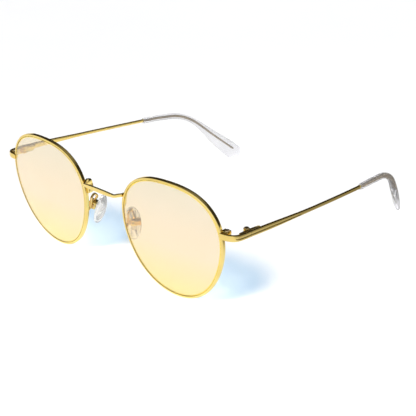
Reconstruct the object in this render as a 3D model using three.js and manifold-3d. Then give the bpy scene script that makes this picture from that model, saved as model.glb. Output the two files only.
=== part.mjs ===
// Round metal blue light glasses, open and standing on a table.
// Millimetres, +Z up. The front faces -Y, the temples run to +Y, and +X is the wearer's left.
import * as THREE from 'three';
import { mergeVertices } from 'three/addons/utils/BufferGeometryUtils.js';
import Module from 'manifold-3d';

const wasm = await Module();
wasm.setup();

// ---------------------------------------------------------------- driving dimensions

// eyewires and lenses
const rimRadius = 24.5;         // mean radius of the eyewire's outer edge
const rimTriangle = 0.0435;     // share of that radius that squares the brow and narrows the foot
const rimSquare = -0.0129;      // share that fills the four quarters
const rimWidth = 0.95;          // radial width of the wire
const rimDepth = 1.5;           // front to back
const rimChamfer = 0.25;
const grooveDepth = 0.4;        // lens groove inside the wire
const grooveHeight = 0.8;
const lensThickness = 1.3;
const lensFit = 0.08;           // air between lens edge and groove
const lensCurve = 145;          // radius of the curve that lens and wire follow
const lensSpacing = 69.56;      // between the two lens centres
const wrapAngle = 3;            // each lens turns back towards the temple
const frontTilt = 6.6;          // top of the front leans forward

// closing blocks, where the eyewire is split to change a lens
const splitAngle = 19;          // place of the split above the lens's horizontal axis
const splitGap = 0.2;
const blockHeight = 1.5;        // each half
const blockReach = 2.3;         // outwards from the wire
const blockDepth = 2.2;
const closingHeadRadius = 0.85;
const closingHeadHeight = 0.5;
const closingShankRadius = 0.5;

// endpieces and temple bars
const barThickness = 1.1;
const barHeight = 2.5;          // at the hinge
const wireHeight = 1.55;        // behind the grooved stretch
const taperStart = 7;           // from the hinge
const taperEnd = 37;            // where the bar has become wireHeight
const endpieceOverlap = 0.9;    // over the front of the wire
const endpieceProud = 0.55;     // its face before the wire's face
const templeReach = 6.43;       // outside of the bar beyond the wire, at the closing blocks
const ornamentWidth = 0.55;     // lengthwise groove on the outside
const ornamentDepth = 0.25;
const ornamentLength = 29;      // on the temple bar
const ornamentInset = 1.95;     // from the wire's face to the groove's start

// hinges
const hingeSetback = 10.5;      // from the front's plane to the hinge axis
const hingeRise = -0.1;         // middle of the hinge above the middle of the closing blocks
const barrelRadius = 1.2;
const middleBarrel = 1.2;       // height of the temple's barrel
const outerBarrel = 0.85;       // height of each of the front's two barrels
const leafThickness = 1.05;
const leafTop = 1.1;            // above the middle of the hinge
const leafFoot = 1.7;           // below it
const frontLeafLength = 4.4;
const templeLeafLength = 6.4;
const leafFall = 0.3;           // its top slopes down with the bar
const hingeHeadRadius = 0.95;
const hingeHeadHeight = 0.3;
const hingeShankRadius = 0.55;
const runningFit = 0.06;        // between parts that turn on each other
const seamGap = 0.1;            // between endpiece and temple bar

// temple tips
const sleeveStart = 72.2;       // behind the hinge
const sleeveWidth = 2.3;        // at its start
const sleeveHeight = 2.7;
const paddleWidth = 3.2;        // at its far end
const paddleHeight = 9.6;
const paddleTwist = 20;         // lower edge turns in towards the head
const coreWidth = 0.8;          // wire inside the sleeve
const coreHeight = 1.3;
const coreFit = 0.1;
const coreShare = 0.93;         // how far the wire runs into the sleeve

// bridge
const bridgeAngle = 155.6;      // place of its lugs round the wire
const bridgeInset = 2.64;       // each corner of the strip from the wire
const bridgeForward = 1.6;      // of the strip before the lens datum
const legSpread = 1.9;          // each leg turns outwards to its lug
const legReach = 2.2;           // end of the leg behind the lens datum
const bridgeBow = 0.5;          // strip's middle, forwards
const bridgeArch = 0.5;         // strip's middle, upwards
const bridgeCorner = 0.9;
const stripHeight = 1.8;
const legHeight = 1.35;
const stripThickness = 0.9;
const lugThickness = 1.0;
const lugHeight = 5.4;
const lugDepth = 2.7;
const lugSetback = 0.9;         // lug's front edge behind the wire's front
const lugDrop = 2.5;            // lug's middle below the strip

// nose pads, their arms and boxes
const armRadius = 0.5;
const armFootAngle = 186;       // place of its foot round the wire
const armRise = 5.0;            // top of the arm's loop above the pad box
const padSplay = 25;            // rear edges of the pads stand apart
const padFlare = 15;            // feet of the pads stand apart
const padLength = 13;
const padWidth = 6.8;
const padCrown = 1.7;           // of the soft face
const padBack = 1.0;            // behind the pad's widest line
const boxOutset = 0.62;         // pad box from the arm's foot, away from the nose
const boxSetback = 3.76;        // and behind it
const boxRise = 1.0;            // and above it
const padDrop = 1.0;            // middle of the pad below its box
const padStandoff = 0.8;        // metal plate from the rocking tab
const boxWidth = 3.7;
const boxHeight = 2.9;
const boxBase = 0.6;
const cheekThickness = 0.95;
const boxInside = 1.5;          // depth of the slot
const eyeRadius = 1.0;          // of the tab that rocks in the slot
const padShankRadius = 0.45;
const padHeadRadius = 0.75;
const padHeadHeight = 0.35;
const coreLength = 5.4;         // of the metal plate in the pad
const coreBreadth = 2.6;
const coreThickness = 0.5;

const solderGap = 0.1;          // between pieces that are brazed together
const screwSlot = 0.3;          // width of a screwdriver slot
const slotDepth = 0.2;
const roundSegments = 16;
const rimSegments = 64;

// ---------------------------------------------------------------- helpers

const radians = THREE.MathUtils.degToRad;

function weld(geometry) {
  geometry.deleteAttribute('normal');
  geometry.deleteAttribute('uv');
  const welded = mergeVertices(geometry, 1e-4);
  const kept = [];
  for (let i = 0; i < welded.index.count; i += 3) {
    const [a, b, c] = [0, 1, 2].map((k) => welded.index.getX(i + k));
    if (a !== b && b !== c && c !== a) kept.push(a, b, c);
  }
  welded.setIndex(kept);
  return welded;
}

// Faces of a closed mesh point out when its signed volume is positive.
function closed(geometry) {
  const welded = weld(geometry);
  const corners = [new THREE.Vector3(), new THREE.Vector3(), new THREE.Vector3()];
  let volume = 0;
  for (let i = 0; i < welded.index.count; i += 3) {
    corners.forEach((corner, k) => {
      corner.fromBufferAttribute(welded.attributes.position, welded.index.getX(i + k));
    });
    volume += corners[0].dot(corners[1].clone().cross(corners[2]));
  }
  if (volume < 0) welded.setIndex(Array.from(welded.index.array).reverse());
  return welded;
}

function toSolid(geometry) {
  const welded = closed(geometry.clone());
  const mesh = new wasm.Mesh({
    numProp: 3,
    vertProperties: new Float32Array(welded.attributes.position.array),
    triVerts: new Uint32Array(welded.index.array),
  });
  return new wasm.Manifold(mesh);
}

function toGeometry(solid) {
  const mesh = solid.getMesh();
  const geometry = new THREE.BufferGeometry();
  geometry.setAttribute('position', new THREE.BufferAttribute(mesh.vertProperties, 3));
  geometry.setIndex(Array.from(mesh.triVerts));
  return geometry;
}

function join(...pieces) {
  return toGeometry(pieces.map(toSolid).reduce((sum, piece) => sum.add(piece)));
}

function cut(body, ...tools) {
  return toGeometry(tools.map(toSolid).reduce((rest, tool) => rest.subtract(tool), toSolid(body)));
}

function overlap(body, tool) {
  return toGeometry(toSolid(body).intersect(toSolid(tool)));
}

function moved(geometry, x, y, z) {
  return geometry.clone().translate(x, y, z);
}

function box(low, high) {
  const size = high.map((value, axis) => value - low[axis]);
  const middle = high.map((value, axis) => (value + low[axis]) / 2);
  return new THREE.BoxGeometry(...size).translate(...middle);
}

// A turned piece on the Z axis from pairs of radius and height.
function turned(profile, segments = roundSegments) {
  const points = profile.map(([radius, height]) => new THREE.Vector2(radius, height));
  return new THREE.LatheGeometry(points, segments).rotateX(Math.PI / 2);
}

function rod(radius, low, high) {
  return turned([[0, low], [radius, low], [radius, high], [0, high]]);
}

// A slotted screw on the Z axis, its head's underside at zero.
function screw(shankRadius, shankLength, headRadius, headHeight) {
  const edge = headHeight * 0.4;
  const body = turned([
    [0, -shankLength], [shankRadius * 0.8, -shankLength],
    [shankRadius, -shankLength + shankRadius * 0.3], [shankRadius, 0], [headRadius, 0],
    [headRadius, headHeight - edge], [headRadius - edge, headHeight], [0, headHeight],
  ]);
  const reach = headRadius * 1.5;
  return cut(body, box([-reach, -screwSlot / 2, headHeight - slotDepth],
    [reach, screwSlot / 2, headHeight + 1]));
}

function ovalOutline(width, height, points = 7) {
  const shape = new THREE.Shape();
  shape.absellipse(0, 0, width / 2, height / 2, 0, Math.PI * 2);
  return new THREE.Shape(shape.getPoints(points).slice(0, -1));
}

function barOutline(width, height, chamfer) {
  const x = width / 2;
  const y = height / 2;
  return new THREE.Shape([
    [x - chamfer, -y], [x, -y + chamfer], [x, y - chamfer], [x - chamfer, y],
    [-x + chamfer, y], [-x, y - chamfer], [-x, -y + chamfer], [-x + chamfer, -y],
  ].map(([a, b]) => new THREE.Vector2(a, b)));
}

const plainSize = { x: 1, y: 1, shift: 0, twist: 0 };

// An outline carried along a curve. Its x axis stays square to the reference, and
// sizeAt gives the outline's scale, shift and twist at each share of the length.
function swept(outline, curve, steps, reference, sizeAt = () => plainSize) {
  const geometry = new THREE.ExtrudeGeometry(outline, { depth: 1, steps, bevelEnabled: false });
  const position = geometry.attributes.position;
  for (let i = 0; i < position.count; i += 1) {
    const share = THREE.MathUtils.clamp(position.getZ(i), 0, 1);
    const tangent = curve.getTangentAt(share);
    const side = new THREE.Vector3().crossVectors(tangent, reference).normalize();
    const rise = new THREE.Vector3().crossVectors(side, tangent);
    const size = sizeAt(share);
    side.applyAxisAngle(tangent, size.twist);
    rise.applyAxisAngle(tangent, size.twist);
    const point = curve.getPointAt(share);
    point.addScaledVector(side, position.getX(i) * size.x);
    point.addScaledVector(rise, position.getY(i) * size.y + size.shift);
    position.setXYZ(i, point.x, point.y, point.z);
  }
  return closed(geometry);
}

function smooth(points) {
  return new THREE.CatmullRomCurve3(points.map((point) => new THREE.Vector3(...point)));
}

function blend(from, to, share) {
  return THREE.MathUtils.lerp(from, to, THREE.MathUtils.smoothstep(share, 0, 1));
}

// ---------------------------------------------------------------- frames

const up = new THREE.Vector3(0, 0, 1);
const across = new THREE.Vector3(1, 0, 0);

const footReach = rimRadius * (1 + rimTriangle + rimSquare);
const footSag = footReach ** 2 / (2 * lensCurve);
const lensHeight = footReach * Math.cos(radians(frontTilt)) - footSag * Math.sin(radians(frontTilt));
const frontPlace = new THREE.Matrix4().makeRotationX(radians(frontTilt)).setPosition(0, 0, lensHeight);
const lensPlace = new THREE.Matrix4().makeRotationZ(radians(wrapAngle))
  .setPosition(lensSpacing / 2, 0, 0);
const lensInPart = frontPlace.clone().multiply(lensPlace);

// A point of the wire's section at an angle round the lens.
function wirePoint(degrees, inwards, backwards) {
  const reach = rimReach(radians(degrees)) - inwards;
  const depth = reach ** 2 / (2 * lensCurve) + backwards;
  return new THREE.Vector3(reach * Math.cos(radians(degrees)), depth, reach * Math.sin(radians(degrees)));
}

const split = wirePoint(splitAngle, 0, 0);
const rimFace = wirePoint(splitAngle, 0, -rimDepth / 2).applyMatrix4(lensInPart);
const barCentre = rimFace.x + templeReach - barThickness / 2;
const hingeAxis = new THREE.Vector3(
  barCentre - barThickness / 2 - solderGap - barrelRadius, hingeSetback, rimFace.z + hingeRise);
const hingePlace = new THREE.Matrix4().setPosition(hingeAxis);
const armFoot = wirePoint(armFootAngle, rimWidth / 2, rimDepth / 2).applyMatrix4(lensInPart);
const padSeat = armFoot.clone().add(new THREE.Vector3(boxOutset, boxSetback, boxRise));
const padPlace = new THREE.Matrix4()
  .makeRotationZ(-radians(padSplay))
  .multiply(new THREE.Matrix4().makeRotationY(-radians(padFlare)))
  .setPosition(padSeat);

// ---------------------------------------------------------------- eyewires and lenses

function rimReach(angle) {
  const shape = 1 + rimTriangle * Math.sin(3 * angle) + rimSquare * Math.cos(4 * angle);
  return rimRadius * shape;
}

// Turns a piece made round the lens axis, which is Y, into the wire's outline and curve.
function lensShaped(profile) {
  const points = profile.map(([radius, depth]) => new THREE.Vector2(radius, depth));
  const geometry = new THREE.LatheGeometry(points, rimSegments);
  const position = geometry.attributes.position;
  for (let i = 0; i < position.count; i += 1) {
    const flatRadius = Math.hypot(position.getX(i), position.getZ(i));
    const angle = Math.atan2(position.getZ(i), position.getX(i));
    const stretch = (rimReach(angle) - rimRadius) * (flatRadius / rimRadius) ** 2;
    const radius = flatRadius + stretch;
    const depth = position.getY(i) + radius ** 2 / (2 * lensCurve);
    position.setXYZ(i, radius * Math.cos(angle), depth, radius * Math.sin(angle));
  }
  return closed(geometry);
}

function rimEnvelope(clearance, halfDepth) {
  const radius = rimRadius + clearance;
  return lensShaped([[0, -halfDepth], [radius, -halfDepth], [radius, halfDepth], [0, halfDepth]]);
}

function makeEyewire() {
  const outer = rimRadius;
  const inner = rimRadius - rimWidth;
  const half = rimDepth / 2;
  const ring = lensShaped([
    [inner, -half], [outer - rimChamfer, -half], [outer, -half + rimChamfer],
    [outer, half - rimChamfer], [outer - rimChamfer, half], [inner, half],
    [inner, grooveHeight / 2], [inner + grooveDepth, 0], [inner, -grooveHeight / 2], [inner, -half],
  ]);
  const saw = box([split.x - rimWidth * 3, -rimDepth, split.z - splitGap / 2],
    [split.x + rimWidth * 3, split.y + rimDepth * 2, split.z + splitGap / 2]);
  return cut(ring, saw);
}

function makeLens() {
  const edge = rimRadius - rimWidth - lensFit;
  const half = lensThickness / 2;
  const bevel = grooveHeight / 2 - lensFit;
  return lensShaped([
    [0, -half], [edge / 2, -half], [edge, -half], [edge, -bevel], [edge + grooveDepth - lensFit, 0],
    [edge, bevel], [edge, half], [edge / 2, half], [0, half],
  ]);
}

// ---------------------------------------------------------------- closing blocks

const blockFront = split.y - rimDepth / 2 + barThickness - endpieceProud + solderGap;
const closingScrew = { x: split.x + solderGap + blockReach * 0.55, y: blockFront + blockDepth / 2 };
const closingCounterbore = closingHeadHeight * 0.7;

function makeClosingBlock(low, high) {
  const block = box([split.x - rimWidth, blockFront, low],
    [split.x + blockReach, blockFront + blockDepth, high]);
  const bore = rod(closingShankRadius + runningFit, low - 1, high + 1);
  const wire = rimEnvelope(solderGap, rimDepth * 2);
  return cut(block, wire, moved(bore, closingScrew.x, closingScrew.y, 0));
}

function makeUpperBlock() {
  const low = split.z + splitGap / 2;
  const top = low + blockHeight;
  const seat = rod(closingHeadRadius + runningFit, top - closingCounterbore, top + 1);
  return cut(makeClosingBlock(low, top), moved(seat, closingScrew.x, closingScrew.y, 0));
}

function makeLowerBlock() {
  const top = split.z - splitGap / 2;
  return makeClosingBlock(top - blockHeight, top);
}

function makeClosingScrew() {
  const length = blockHeight * 2 + splitGap - closingCounterbore;
  const seat = split.z + splitGap / 2 + blockHeight - closingCounterbore + runningFit;
  return moved(screw(closingShankRadius, length, closingHeadRadius, closingHeadHeight),
    closingScrew.x, closingScrew.y, seat);
}

// ---------------------------------------------------------------- endpieces

const frontStart = {
  x: rimFace.x - endpieceOverlap,
  y: rimFace.y - endpieceProud + barThickness / 2,
};

// The strip's middle line from above: over the wire's front, round the corner, back to the seam.
const endpieceCurve = smooth([
  [frontStart.x, frontStart.y, 0], [frontStart.x + 2.6, frontStart.y + 0.15, 0],
  [barCentre - 2.1, frontStart.y + 0.9, 0], [barCentre - 0.75, frontStart.y + 2.5, 0],
  [barCentre - 0.2, frontStart.y + 5.1, 0], [barCentre, hingeAxis.y - seamGap / 2, 0],
]);

function endpieceStrip(thickness, height) {
  return swept(barOutline(thickness, height, 0.2), endpieceCurve, 18, up);
}

function makeEndpiece() {
  const strip = moved(endpieceStrip(barThickness, barHeight), 0, 0, hingeAxis.z);
  const wire = rimEnvelope(solderGap, rimDepth / 2 + solderGap).applyMatrix4(lensInPart);
  const line = moved(endpieceStrip(ornamentDepth * 2, ornamentWidth), 0, 0, hingeAxis.z);
  const outside = moved(line, barThickness / 2, -barThickness * 0.15, 0);
  const limit = box([barCentre - 2, rimFace.y + ornamentInset, 0],
    [barCentre + 9, hingeAxis.y + 1, hingeAxis.z * 2]);
  const blocks = box(
    [split.x - rimWidth, blockFront - solderGap, split.z - blockHeight - splitGap],
    [split.x + blockReach + solderGap, blockFront + blockDepth, split.z + blockHeight + splitGap],
  ).applyMatrix4(lensInPart);
  return cut(strip, wire, overlap(outside, limit), blocks);
}

// ---------------------------------------------------------------- hinges, round their own axis

const leafFace = barrelRadius;                       // leaf's face against the bar
const middleTop = middleBarrel / 2;
const stackTop = middleTop + runningFit + outerBarrel;

function makeFrontHinge() {
  const leaf = box([leafFace - leafThickness, -frontLeafLength, -leafFoot], [leafFace, 0, leafTop]);
  const barrels = rod(barrelRadius, -stackTop, stackTop);
  const room = rod(barrelRadius + runningFit * 2, -middleTop - runningFit, middleTop + runningFit);
  const slot = box([-barrelRadius * 2, 0, -middleTop - runningFit],
    [barrelRadius * 2, barrelRadius * 2, middleTop + runningFit]);
  const bore = rod(hingeShankRadius + runningFit, -stackTop - 1, stackTop + 1);
  const strip = moved(endpieceStrip(barThickness + solderGap * 2, barHeight * 2), 0, 0, hingeAxis.z);
  const bar = strip.applyMatrix4(hingePlace.clone().invert());
  return cut(join(leaf, barrels), room, slot, bore, bar);
}

function makeTempleHinge() {
  const heel = templeLeafLength - leafFoot;
  const side = new THREE.Shape([
    [0, -leafFoot], [heel, -leafFoot], [templeLeafLength, -middleTop / 2],
    [templeLeafLength, leafTop - leafFall],
    [0, leafTop],
  ].map(([along, height]) => new THREE.Vector2(along, height)));
  const leaf = new THREE.ExtrudeGeometry(side, { depth: leafThickness, bevelEnabled: false })
    .rotateX(Math.PI / 2).rotateZ(Math.PI / 2).translate(leafFace - leafThickness, 0, 0);
  const barrel = rod(barrelRadius, -middleTop, middleTop);
  const reach = barrelRadius + runningFit * 2;
  const rooms = [rod(reach, middleTop, stackTop + 1), rod(reach, -stackTop - 1, -middleTop)];
  const bore = rod(hingeShankRadius + runningFit, -stackTop - 1, stackTop + 1);
  return cut(join(leaf, barrel), ...rooms, bore);
}

function makeHingeScrew() {
  const seat = stackTop + runningFit / 2;
  return moved(screw(hingeShankRadius, stackTop * 2, hingeHeadRadius, hingeHeadHeight), 0, 0, seat);
}

// ---------------------------------------------------------------- temples, from the hinge axis

const barOffset = barrelRadius + solderGap + barThickness / 2;
const barCurve = smooth([
  [barOffset, seamGap / 2, 0], [barOffset + 0.25, 17, -0.65], [barOffset + 0.1, 37, -1.45],
  [barOffset - 0.6, 57, -2.3], [barOffset - 1.3, sleeveStart, -2.9],
]);
const coreCurve = smooth([
  [barOffset - 1.3, sleeveStart, -2.9], [barOffset - 2.5, sleeveStart + 12, -3.5],
  [barOffset - 4.0, sleeveStart + 23, -4.9], [barOffset - 5.7, sleeveStart + 31.5, -8.7],
  [barOffset - 9.6, sleeveStart + 43.5, -18.3], [barOffset - 16.0, sleeveStart + 58.5, -30.5],
]);

function barSize(share) {
  const along = share * sleeveStart;
  const taper = THREE.MathUtils.smoothstep(along, taperStart, taperEnd);
  const height = THREE.MathUtils.lerp(barHeight, wireHeight, taper);
  return { ...plainSize, y: height / barHeight };
}

// Part of the core's curve, from its start to the given share.
function coreStretch(endShare) {
  const points = [];
  for (let i = 0; i <= 24; i += 1) points.push(coreCurve.getPointAt(endShare * i / 24).toArray());
  return smooth(points);
}

function makeTemple() {
  const bar = swept(barOutline(barThickness, barHeight, 0.2), barCurve, 18, up, barSize);
  const core = swept(barOutline(coreWidth, coreHeight, 0.2), coreStretch(coreShare), 18, up);
  const joined = join(bar, moved(core, 0, -coreFit / 2, 0));
  const ornament = swept(barOutline(ornamentDepth * 2, ornamentWidth, 0.1), barCurve, 18, up);
  const onFace = moved(ornament, barThickness / 2, 0, 0);
  const limit = box([-9, -9, -9], [9, ornamentLength, 9]);
  const leafRoom = box(
    [-barrelRadius * 2, -barrelRadius * 2, -leafFoot - solderGap],
    [leafFace + solderGap, templeLeafLength + solderGap, leafTop + solderGap]);
  return cut(joined, overlap(onFace, limit), leafRoom);
}

// The sleeve is nearly round in front and ends in a flat paddle that hangs below the core.
function sleeveSize(share) {
  const swell = THREE.MathUtils.smoothstep(share, 0.42, 1.02);
  const end = share > 0.93 ? Math.sqrt(Math.max(1 - ((share - 0.93) / 0.0725) ** 2, 0.05)) : 1;
  const width = blend(1, paddleWidth / sleeveWidth, share) * (0.45 + 0.55 * end);
  const height = THREE.MathUtils.lerp(1, paddleHeight / sleeveHeight, swell) * end;
  const hang = (paddleHeight / 2 - coreHeight) * swell;
  return { x: width, y: height, shift: -hang * 0.3, twist: radians(paddleTwist) * swell };
}

function makeTempleTip() {
  const sleeve = swept(ovalOutline(sleeveWidth, sleeveHeight), coreCurve, 24, up, sleeveSize);
  const bore = swept(barOutline(coreWidth + coreFit * 2, coreHeight + coreFit * 2, 0.2),
    coreStretch(coreShare + coreFit / 10), 18, up);
  const mouth = moved(bore, 0, -coreFit * 2, 0);
  return cut(moved(sleeve, 0, coreFit, 0), bore, mouth);
}

// ---------------------------------------------------------------- bridge, in the front's frame

const bridgeEnd = wirePoint(bridgeAngle, 0, 0);
const bridgeHeight = bridgeEnd.z;
const bridgeHalfSpan = bridgeEnd.clone().applyMatrix4(lensPlace).x - bridgeInset;

function makeBridge() {
  const leg = bridgeHalfSpan;
  const face = -bridgeForward;
  const bend = bridgeCorner;
  const half = [[leg + legSpread, legReach, 0], [leg + legSpread * 0.7, legReach * 0.4, 0],
    [leg + legSpread * 0.2, face + bend * 1.4, 0], [leg - bend * 0.3, face + bend * 0.3, 0],
    [leg - bend * 1.6, face, 0.1], [leg / 2, face - bridgeBow * 0.75, bridgeArch * 0.7]];
  const otherHalf = half.map(([x, y, z]) => [-x, y, z]).reverse();
  const path = smooth([...half, [0, face - bridgeBow, bridgeArch], ...otherHalf]);
  const slimLegs = (share) => {
    const slim = THREE.MathUtils.smoothstep(Math.abs(share - 0.5), 0.15, 0.32);
    return { ...plainSize, y: THREE.MathUtils.lerp(1, legHeight / stripHeight, slim) };
  };
  const strip = moved(swept(barOutline(stripThickness, stripHeight, 0.2), path, 30, up, slimLegs),
    0, 0, bridgeHeight);
  const lug = makeLug();
  const otherLug = mirrored(lug);
  const wire = rimEnvelope(solderGap, rimDepth * 2).applyMatrix4(lensPlace);
  return cut(join(strip, lug, otherLug), wire, mirrored(wire));
}

// A round-ended tab behind the strip, bent to the wire's outline.
function makeLug() {
  const middle = new THREE.Vector3(-rimReach(Math.PI), rimReach(Math.PI) ** 2 / (2 * lensCurve), 0)
    .applyMatrix4(lensPlace);
  const outline = new THREE.Shape();
  const round = lugDepth * 0.45;
  const halfHeight = lugHeight / 2;
  outline.moveTo(0, -halfHeight);
  outline.lineTo(lugDepth - round, -halfHeight);
  outline.absarc(lugDepth - round, -halfHeight + round, round, -Math.PI / 2, 0, false);
  outline.absarc(lugDepth - round, halfHeight - round, round, 0, Math.PI / 2, false);
  outline.lineTo(0, halfHeight);
  outline.closePath();
  const tab = new THREE.ExtrudeGeometry(outline, { depth: 6, bevelEnabled: false, curveSegments: 6 })
    .rotateX(Math.PI / 2).rotateZ(Math.PI / 2)
    .translate(middle.x - 3, middle.y - rimDepth / 2 + lugSetback, bridgeHeight - lugDrop);
  const inner = rimEnvelope(solderGap + lugThickness, rimDepth * 3).applyMatrix4(lensPlace);
  return overlap(tab, inner);
}

// ---------------------------------------------------------------- nose pads

const boxFace = eyeRadius + boxInside * 0.35;        // slot's floor from the rocking axis

function makePadArm() {
  const foot = armFoot;
  const seat = padSeat;
  const path = smooth([
    [foot.x, foot.y - 0.2, foot.z], [foot.x - 0.05, foot.y + 0.8, foot.z + 0.7],
    [foot.x - 0.3, foot.y + 1.15, seat.z + armRise * 0.4],
    [foot.x - 0.4, foot.y + 1.5, seat.z + armRise * 0.8],
    [foot.x - 0.4, (foot.y + seat.y) / 2 + 1, seat.z + armRise],
    [seat.x - 1.5, seat.y + 0.1, seat.z + armRise * 0.82],
    [seat.x - 0.8, seat.y + 0.1, seat.z + armRise * 0.55],
    [seat.x + 0.1, seat.y - 0.2, seat.z + boxHeight / 2], [seat.x + 0.6, seat.y - 0.35, seat.z + 0.5],
  ]);
  const wire = swept(ovalOutline(armRadius * 2, armRadius * 2, 4), path, 22, across);
  const rim = rimEnvelope(solderGap, rimDepth / 2 + solderGap).applyMatrix4(lensInPart);
  const room = box([-9, -boxWidth / 2 - solderGap, -boxHeight / 2 - solderGap],
    [boxFace + boxBase + solderGap, boxWidth / 2 + solderGap, boxHeight / 2 + solderGap],
  ).applyMatrix4(padPlace);
  return cut(wire, rim, room);
}

function makePadBox() {
  const outside = box([-eyeRadius, -boxWidth / 2, -boxHeight / 2],
    [boxFace + boxBase, boxWidth / 2, boxHeight / 2]);
  const slot = box([-9, -boxWidth / 2 + cheekThickness, -boxHeight],
    [boxFace, boxWidth / 2 - cheekThickness, boxHeight]);
  const bore = rod(padShankRadius + runningFit, -boxWidth, boxWidth).rotateX(Math.PI / 2);
  return cut(outside, slot, bore);
}

function makePadScrew() {
  const pin = screw(padShankRadius, boxWidth, padHeadRadius, padHeadHeight).rotateX(Math.PI / 2);
  return moved(pin, 0, -boxWidth / 2 - runningFit, 0);
}

const plateFace = -eyeRadius - padStandoff;                 // plate's outer face from the rocking axis

function makePadCore() {
  const tabHalf = boxWidth / 2 - cheekThickness - runningFit * 2;
  const plate = new THREE.ExtrudeGeometry(ovalOutline(coreBreadth, coreLength),
    { depth: coreThickness, bevelEnabled: false }).rotateX(Math.PI / 2).rotateZ(Math.PI / 2)
    .translate(plateFace - coreThickness, 0, -padDrop);
  const eye = rod(eyeRadius, -tabHalf, tabHalf).rotateX(Math.PI / 2);
  const neck = box([plateFace - coreThickness / 2, -tabHalf, -eyeRadius * 0.8],
    [0, tabHalf, eyeRadius * 0.8]);
  const bore = rod(padShankRadius + runningFit, -boxWidth, boxWidth).rotateX(Math.PI / 2);
  return cut(join(plate, eye, neck), bore);
}

function makeNosePad() {
  const ball = new THREE.SphereGeometry(1, 20, 12);
  const soft = ball.scale(padCrown + coreThickness, padWidth / 2, padLength / 2)
    .translate(plateFace - padBack, 0, -padDrop);
  const trim = box([plateFace, -padWidth, -padLength], [plateFace + 9, padWidth, padLength]);
  const pocket = new THREE.ExtrudeGeometry(
    ovalOutline(coreBreadth + runningFit * 4, coreLength + runningFit * 4),
    { depth: 9, bevelEnabled: false }).rotateX(Math.PI / 2).rotateZ(Math.PI / 2)
    .translate(plateFace - coreThickness - runningFit, 0, -padDrop);
  return cut(soft, trim, pocket);
}

// ---------------------------------------------------------------- both sides

function mirrored(geometry) {
  return closed(geometry.clone().scale(-1, 1, 1));
}

const flip = new THREE.Matrix4().makeScale(-1, 1, 1);

function finish(color, roughness, metalness, opacity = 1) {
  return new THREE.MeshStandardMaterial({
    color, roughness, metalness, opacity, transparent: opacity < 1,
  });
}

const finishes = {
  gold: () => finish(0xd9bd7a, 0.18, 1),
  goldWire: () => finish(0xd3b36b, 0.22, 1),
  screwSteel: () => finish(0xcdb478, 0.3, 1),
  lens: () => finish(0xfdebcb, 0.04, 0, 0.55),
  clear: () => finish(0xf2f4f5, 0.12, 0, 0.5),
};

const glasses = new THREE.Group();

function group(parent, matrix) {
  const child = new THREE.Group();
  child.applyMatrix4(matrix);
  parent.add(child);
  return child;
}

function piece(parent, name, geometry, material) {
  const mesh = new THREE.Mesh(geometry, material);
  mesh.name = name;
  parent.add(mesh);
}

const front = group(glasses, frontPlace);
piece(front, 'bridge', makeBridge(), finishes.gold());

const lensPieces = [
  ['eyewire', makeEyewire(), 'gold'], ['lens', makeLens(), 'lens'],
  ['closing_block_upper', makeUpperBlock(), 'gold'], ['closing_block_lower', makeLowerBlock(), 'gold'],
  ['closing_screw', makeClosingScrew(), 'screwSteel'],
];
const partPieces = [['endpiece', makeEndpiece(), 'gold'], ['pad_arm', makePadArm(), 'goldWire']];
const hingePieces = [
  ['front_hinge', makeFrontHinge(), 'gold'], ['hinge_screw', makeHingeScrew(), 'screwSteel'],
  ['temple_hinge', makeTempleHinge(), 'gold'], ['temple', makeTemple(), 'gold'],
  ['temple_tip', makeTempleTip(), 'clear'],
];
const padPieces = [
  ['pad_box', makePadBox(), 'gold'], ['pad_screw', makePadScrew(), 'screwSteel'],
  ['pad_core', makePadCore(), 'goldWire'], ['nose_pad', makeNosePad(), 'clear'],
];

// The left side is as made, and the right side is its mirror image.
for (const side of ['left', 'right']) {
  const isLeft = side === 'left';
  const place = (matrix) => (isLeft ? matrix : flip.clone().multiply(matrix).multiply(flip));
  const shape = (geometry) => (isLeft ? geometry : mirrored(geometry));
  const frames = [
    [group(front, place(lensPlace)), lensPieces], [glasses, partPieces],
    [group(glasses, place(hingePlace)), hingePieces], [group(glasses, place(padPlace)), padPieces],
  ];
  for (const [frame, pieces] of frames) {
    for (const [name, geometry, finishName] of pieces) {
      piece(frame, `${side}_${name}`, shape(geometry), finishes[finishName]());
    }
  }
}

// The origin is under the middle of the glasses, at table height.
const bounds = new THREE.Box3().setFromObject(glasses, true);
glasses.position.set(0, -(bounds.min.y + bounds.max.y) / 2, -bounds.min.z);

export default glasses;
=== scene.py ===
# Round metal blue light glasses: fine pieces, finishes, floor, light and camera.
# Pieces are modelled in millimetres in the frame of the front, a hinge or a pad, then placed in metres.
import math

import bmesh
import bpy
from mathutils import Matrix, Vector


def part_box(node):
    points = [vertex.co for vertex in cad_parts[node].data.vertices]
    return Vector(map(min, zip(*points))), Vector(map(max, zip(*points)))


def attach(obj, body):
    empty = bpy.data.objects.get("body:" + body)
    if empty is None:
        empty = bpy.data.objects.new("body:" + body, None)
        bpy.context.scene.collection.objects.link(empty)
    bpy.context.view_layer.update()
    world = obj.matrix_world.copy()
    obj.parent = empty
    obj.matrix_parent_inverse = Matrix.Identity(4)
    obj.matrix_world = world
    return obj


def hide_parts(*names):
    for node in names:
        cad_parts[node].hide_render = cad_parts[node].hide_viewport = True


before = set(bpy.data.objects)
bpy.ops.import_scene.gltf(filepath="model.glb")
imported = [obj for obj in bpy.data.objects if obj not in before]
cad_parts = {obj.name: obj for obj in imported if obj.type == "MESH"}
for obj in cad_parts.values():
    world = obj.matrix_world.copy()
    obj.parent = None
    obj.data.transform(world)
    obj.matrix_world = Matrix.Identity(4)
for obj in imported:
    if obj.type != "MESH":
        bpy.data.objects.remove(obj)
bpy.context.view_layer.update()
print("frame loaded")

sides = ("left", "right")
upwards = Vector((0, 0, 1))
acrossFace = Vector((1, 0, 0))


# outlines, paths and lofts

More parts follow.
